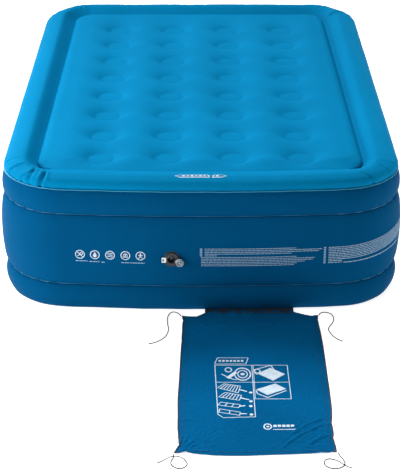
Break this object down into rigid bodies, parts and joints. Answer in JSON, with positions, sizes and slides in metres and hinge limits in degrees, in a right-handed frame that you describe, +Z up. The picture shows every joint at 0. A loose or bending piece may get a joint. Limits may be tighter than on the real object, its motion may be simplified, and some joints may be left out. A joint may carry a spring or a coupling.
{
  "type": "air mattress",
  "caption": "Double-height inflated bed with dimpled top, edge bolster, foot-end screw valve with hinged cap, and a wrap flap with tie cords.",
  "frame": {"origin": "middle of the underside, on the surface the mattress stands on", "axes": "+Z up, +Y to the head end, +X to the right seen from the foot end, which has the valve and wrap"},
  "size_m": [1.37, 2.8923, 0.485],
  "materials": {
    "top_laminate": "satin bright blue laminate with a fine woven face",
    "wall_laminate": "satin deep blue laminate",
    "inner_laminate": "plain blue laminate",
    "seam_piping": "pale blue welded seam flange",
    "navy_tape": "navy woven tape",
    "valve_dark_plastic": "moulded dark navy",
    "valve_white_plastic": "moulded white",
    "cap_grey_plastic": "soft translucent grey",
    "seal_rubber": "black rubber",
    "wrap_cloth": "printed blue woven polyester",
    "tie_cord": "dark braided cord"
  },
  "bodies": {
    "mattress": {"bottom_sheet": "wall_laminate", "bottom_seam_flange": "navy_tape", "side_wall_lower": "wall_laminate", "side_wall_middle": "wall_laminate", "side_wall_upper": "wall_laminate", "top_seam_flange": "seam_piping", "edge_bolster": "top_laminate", "bolster_divider": "inner_laminate", "sleeping_panel": "top_laminate", "air_coil_r1_c1": "inner_laminate", "air_coil_r1_c2": "inner_laminate", "air_coil_r1_c3": "inner_laminate", "air_coil_r1_c4": "inner_laminate", "air_coil_r2_c1": "inner_laminate", "air_coil_r2_c2": "inner_laminate", "air_coil_r2_c3": "inner_laminate", "air_coil_r2_c4": "inner_laminate", "air_coil_r3_c1": "inner_laminate", "air_coil_r3_c2": "inner_laminate", "air_coil_r3_c3": "inner_laminate", "air_coil_r3_c4": "inner_laminate", "air_coil_r4_c1": "inner_laminate", "air_coil_r4_c2": "inner_laminate", "air_coil_r4_c3": "inner_laminate", "air_coil_r4_c4": "inner_laminate", "air_coil_r5_c1": "inner_laminate", "air_coil_r5_c2": "inner_laminate", "air_coil_r5_c3": "inner_laminate", "air_coil_r5_c4": "inner_laminate", "air_coil_r6_c1": "inner_laminate", "air_coil_r6_c2": "inner_laminate", "air_coil_r6_c3": "inner_laminate", "air_coil_r6_c4": "inner_laminate", "air_coil_r7_c1": "inner_laminate", "air_coil_r7_c2": "inner_laminate", "air_coil_r7_c3": "inner_laminate", "air_coil_r7_c4": "inner_laminate", "air_coil_r8_c1": "inner_laminate", "air_coil_r8_c2": "inner_laminate", "air_coil_r8_c3": "inner_laminate", "air_coil_r8_c4": "inner_laminate", "middle_diaphragm": "inner_laminate", "lower_tie_band": "inner_laminate", "base_web_left": "inner_laminate", "base_web_centre": "inner_laminate", "base_web_right": "inner_laminate", "valve_base": "valve_dark_plastic", "wrap_connector": "navy_tape"},
    "insert": {"valve_insert": "valve_dark_plastic", "insert_seal": "seal_rubber", "pull_tab": "valve_white_plastic"},
    "cap": {"cap": "cap_grey_plastic"},
    "check_disc": {"check_disc": "cap_grey_plastic"},
    "wrap": {"wrap_panel": "wrap_cloth", "wrap_hem_left": "navy_tape", "wrap_hem_right": "navy_tape", "tie_cord_near_left": "tie_cord", "tie_cord_near_right": "tie_cord", "tie_cord_far_left": "tie_cord", "tie_cord_far_right": "tie_cord"}
  },
  "joints": [
    {"name": "insert_twist", "type": "hinge", "parent": "mattress", "child": "insert", "pos_m": [-0.098, -0.989, 0.202], "axis": [0, -1, 0], "range_deg": [0, 90]},
    {"name": "cap_hinge", "type": "hinge", "parent": "insert", "child": "cap", "pos_m": [-0.08382, -0.9988, 0.19793], "axis": [-0.2756, 0, -0.9613], "range_deg": [0, 165]},
    {"name": "check_disc_slide", "type": "slide", "parent": "insert", "child": "check_disc", "axis": [0, 1, 0], "range_m": [0, 0.0025]},
    {"name": "wrap_fold", "type": "hinge", "parent": "mattress", "child": "wrap", "pos_m": [0.165, -0.98415, 0.0012], "axis": [-1, 0, 0], "range_deg": [0, 80]}
  ]
}
